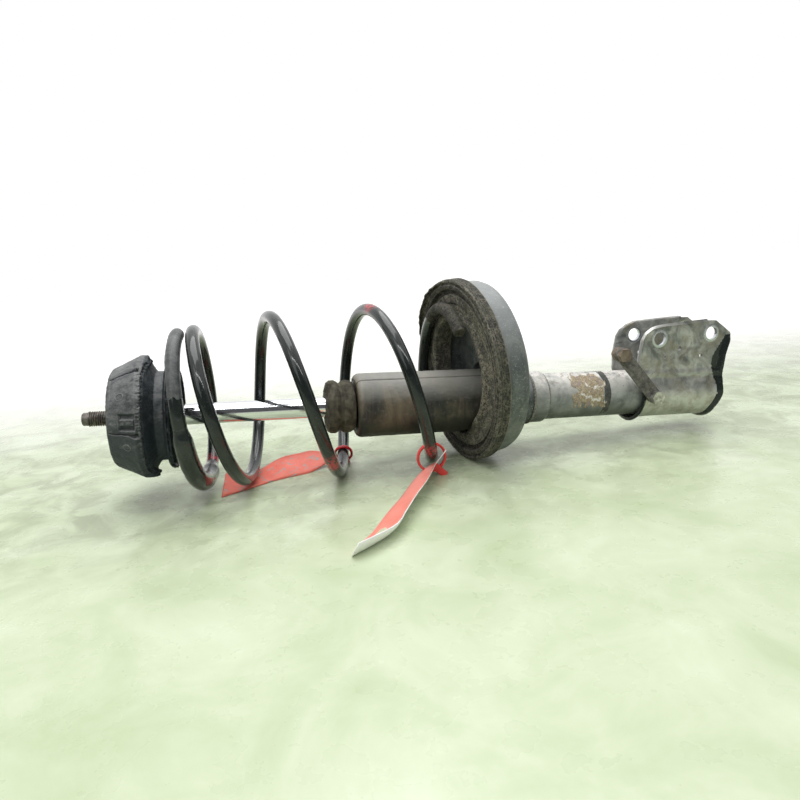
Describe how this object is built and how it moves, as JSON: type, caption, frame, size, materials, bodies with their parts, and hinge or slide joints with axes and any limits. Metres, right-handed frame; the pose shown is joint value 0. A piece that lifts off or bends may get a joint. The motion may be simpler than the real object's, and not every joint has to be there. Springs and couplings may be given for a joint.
{
  "type": "suspension strut assembly",
  "caption": "Suspension strut with a coil spring, rubber top mount, damper tube, spring pan and a two-ear knuckle bracket, lying on its side.",
  "frame": {"origin": "on the damper axis at the outer face of the top mount, inside the stud's threaded stretch", "axes": "+X along the damper axis from the top mount to the knuckle bracket, +Z towards the bracket's ears, the part lying on its side"},
  "size_m": [0.671, 0.2827, 0.2035],
  "materials": {
    "rod": "hard chrome, fine scratches",
    "zinc_steel": "dull zinc",
    "bare_steel": "machined",
    "ball_steel": "polished",
    "mount_rubber": "moulded, dusty",
    "isolator_rubber": "torn",
    "liner_rubber": "worn, dirty",
    "seal_rubber": "smooth",
    "spring_paint": "gloss black",
    "sleeve_plastic": "gloss black",
    "foam": "aged polyurethane",
    "cover_plastic": "dusty",
    "cage_plastic": "natural",
    "tube_paint": "worn grey paint with rust",
    "pan_paint": "speckled blue-grey paint",
    "bracket_zinc": "worn dark coating",
    "strap_steel": "rusty",
    "rusty_bolt": "rusted",
    "bush_bronze": "sintered",
    "ptfe": "satin",
    "tag_red": "worn",
    "tie_red": "moulded"
  },
  "bodies": {
    "strut_body": {"damper_tube": "tube_paint", "rod_seal": "seal_rubber", "rod_guide": "bare_steel", "guide_bush": "bush_bronze", "pressure_tube": "bare_steel", "base_valve": "bare_steel", "bottom_cap": "tube_paint", "pan_collar": "tube_paint", "spring_pan": "pan_paint", "pan_liner": "liner_rubber", "knuckle_bracket": "bracket_zinc", "hose_strap": "strap_steel", "strap_spacer": "strap_steel", "strap_lower_bolt": "strap_steel", "strap_upper_bolt": "rusty_bolt", "coil_spring": "spring_paint", "spring_sleeve": "sleeve_plastic", "tag_tie_long": "tie_red", "tag_label_long": "tag_red", "tag_tie_short": "tie_red", "tag_label_short": "tag_red"},
    "upper_seat": {"upper_spring_seat": "spring_paint", "seat_isolator": "isolator_rubber", "bearing_lower_race": "bare_steel"},
    "ball_set": {"bearing_balls": "ball_steel", "bearing_cage": "cage_plastic"},
    "rod_and_mount": {"piston_rod": "rod", "stud_nut": "zinc_steel", "stud_washer": "zinc_steel", "mount_core": "bare_steel", "mount_rubber": "mount_rubber", "bearing_upper_race": "bare_steel", "rebound_stop": "seal_rubber", "piston": "bare_steel", "piston_band": "ptfe", "piston_nut": "zinc_steel"},
    "bump_set": {"bump_stop": "foam", "dust_cover": "cover_plastic"}
  },
  "joints": [
    {"name": "damper_stroke", "type": "slide", "parent": "strut_body", "child": "upper_seat", "axis": [1, 0, 0], "range_m": [0, 0.09], "stiffness_N_per_m": 20000, "springref_m": -0.005, "deforming": ["coil_spring", "spring_sleeve"]},
    {"name": "steer_swivel", "type": "hinge", "parent": "upper_seat", "child": "rod_and_mount", "pos_m": [0.045, 0, 0], "axis": [1, 0, 0], "range_deg": [-40, 40]},
    {"name": "ball_roll", "type": "hinge", "parent": "upper_seat", "child": "ball_set", "pos_m": [0.045, 0, 0], "axis": [1, 0, 0], "range_deg": [-20, 20]},
    {"name": "cover_slide", "type": "slide", "parent": "strut_body", "child": "bump_set", "axis": [-1, 0, 0], "range_m": [0, 0.03]}
  ],
  "couplings": [
    {"joint": "ball_roll", "follows": "steer_swivel", "ratio": 0.5}
  ]
}
